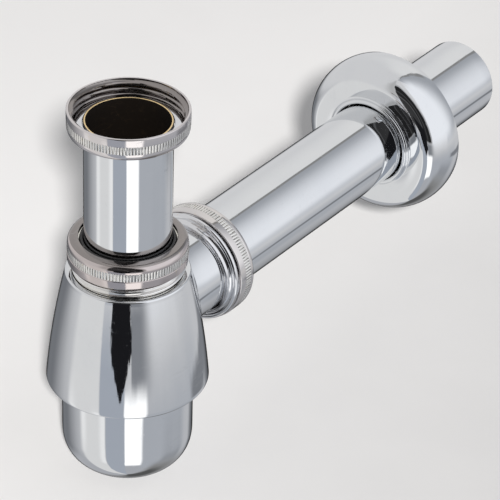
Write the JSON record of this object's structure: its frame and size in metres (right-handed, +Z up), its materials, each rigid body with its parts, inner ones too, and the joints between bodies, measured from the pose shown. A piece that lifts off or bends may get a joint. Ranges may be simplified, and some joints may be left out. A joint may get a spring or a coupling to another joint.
{
  "type": "bottle trap",
  "caption": "Chromed bottle trap for a wash basin: inlet tube with union nut, bell body with unscrewing cup, horizontal outlet tube and wall flange.",
  "frame": {"origin": "on the inlet tube's axis, in the plane of the seat that the basin waste's end rests on", "axes": "+Z up along the inlet tube towards the basin, +Y along the outlet tube towards the wall"},
  "size_m": [0.0644, 0.2482, 0.1517],
  "materials": {
    "chrome": "polished",
    "nut_chrome": "polished, with a knurled band",
    "brass": "machined",
    "rubber": "matte",
    "nylon": "moulded"
  },
  "bodies": {
    "inlet_tube": {"inlet_tube": "chrome", "inlet_tube_collar": "chrome"},
    "inlet_glide_ring": {"inlet_glide_ring": "nylon"},
    "inlet_union_nut": {"inlet_union_nut": "nut_chrome"},
    "neck_seal": {"neck_seal": "rubber"},
    "trap_body": {"trap_body": "chrome", "neck_ring": "chrome", "outlet_branch": "chrome", "outlet_spigot": "chrome", "cup_seat_ring": "brass"},
    "neck_slip_washer": {"neck_slip_washer": "nylon"},
    "body_nut": {"body_nut": "nut_chrome"},
    "cup_seal": {"cup_seal": "rubber"},
    "bottle_cup": {"bottle_cup": "chrome", "cup_thread_ring": "brass"},
    "outlet_slip_washer": {"outlet_slip_washer": "nylon"},
    "outlet_nut": {"outlet_nut": "nut_chrome"},
    "outlet_seal": {"outlet_seal": "rubber"},
    "outlet_tube": {"outlet_tube": "chrome"},
    "flange_grip_ring": {"flange_grip_ring": "rubber"},
    "wall_flange": {"wall_flange": "chrome"}
  },
  "joints": [
    {"name": "union_nut_slide", "type": "slide", "parent": "inlet_tube", "child": "inlet_glide_ring", "axis": [0, 0, 1], "range_m": [-0.022, 0]},
    {"name": "union_nut_turn", "type": "hinge", "parent": "inlet_glide_ring", "child": "inlet_union_nut", "pos_m": [0, 0, 0], "axis": [0, 0, 1], "continuous": true},
    {"name": "height_slide", "type": "slide", "parent": "inlet_tube", "child": "neck_seal", "axis": [0, 0, 1], "range_m": [-0.025, 0.01]},
    {"name": "body_swivel", "type": "hinge", "parent": "neck_seal", "child": "trap_body", "pos_m": [0, 0, 0], "axis": [0, 0, 1], "continuous": true},
    {"name": "body_nut_lift", "type": "slide", "parent": "trap_body", "child": "neck_slip_washer", "axis": [0, 0, 1], "range_m": [0, 0.00424]},
    {"name": "body_nut_turn", "type": "hinge", "parent": "neck_slip_washer", "child": "body_nut", "pos_m": [0, 0, 0], "axis": [0, 0, 1], "range_deg": [0, 660]},
    {"name": "cup_drop", "type": "slide", "parent": "trap_body", "child": "cup_seal", "axis": [0, 0, 1], "range_m": [-0.00379, 0]},
    {"name": "cup_turn", "type": "hinge", "parent": "cup_seal", "child": "bottle_cup", "pos_m": [0, 0, 0], "axis": [0, 0, 1], "range_deg": [-590, 0]},
    {"name": "outlet_nut_back", "type": "slide", "parent": "trap_body", "child": "outlet_slip_washer", "axis": [0, 1, 0], "range_m": [0, 0.00424]},
    {"name": "outlet_nut_turn", "type": "hinge", "parent": "outlet_slip_washer", "child": "outlet_nut", "pos_m": [0, 0, -0.08], "axis": [0, 1, 0], "range_deg": [0, 660]},
    {"name": "outlet_tube_turn", "type": "hinge", "parent": "trap_body", "child": "outlet_seal", "pos_m": [0, 0, -0.08], "axis": [0, 1, 0], "continuous": true},
    {"name": "outlet_tube_slide", "type": "slide", "parent": "outlet_seal", "child": "outlet_tube", "axis": [0, 1, 0], "range_m": [-0.007, 0.014]},
    {"name": "flange_slide", "type": "slide", "parent": "outlet_tube", "child": "flange_grip_ring", "axis": [0, 1, 0], "range_m": [-0.08, 0.045]},
    {"name": "flange_spin", "type": "hinge", "parent": "flange_grip_ring", "child": "wall_flange", "pos_m": [0, 0, -0.08], "axis": [0, 1, 0], "continuous": true}
  ],
  "couplings": [
    {"joint": "body_nut_lift", "follows": "body_nut_turn", "m_per_rad": 0.00036749},
    {"joint": "cup_drop", "follows": "cup_turn", "m_per_rad": 0.00036749},
    {"joint": "outlet_nut_back", "follows": "outlet_nut_turn", "m_per_rad": 0.00036749}
  ]
}
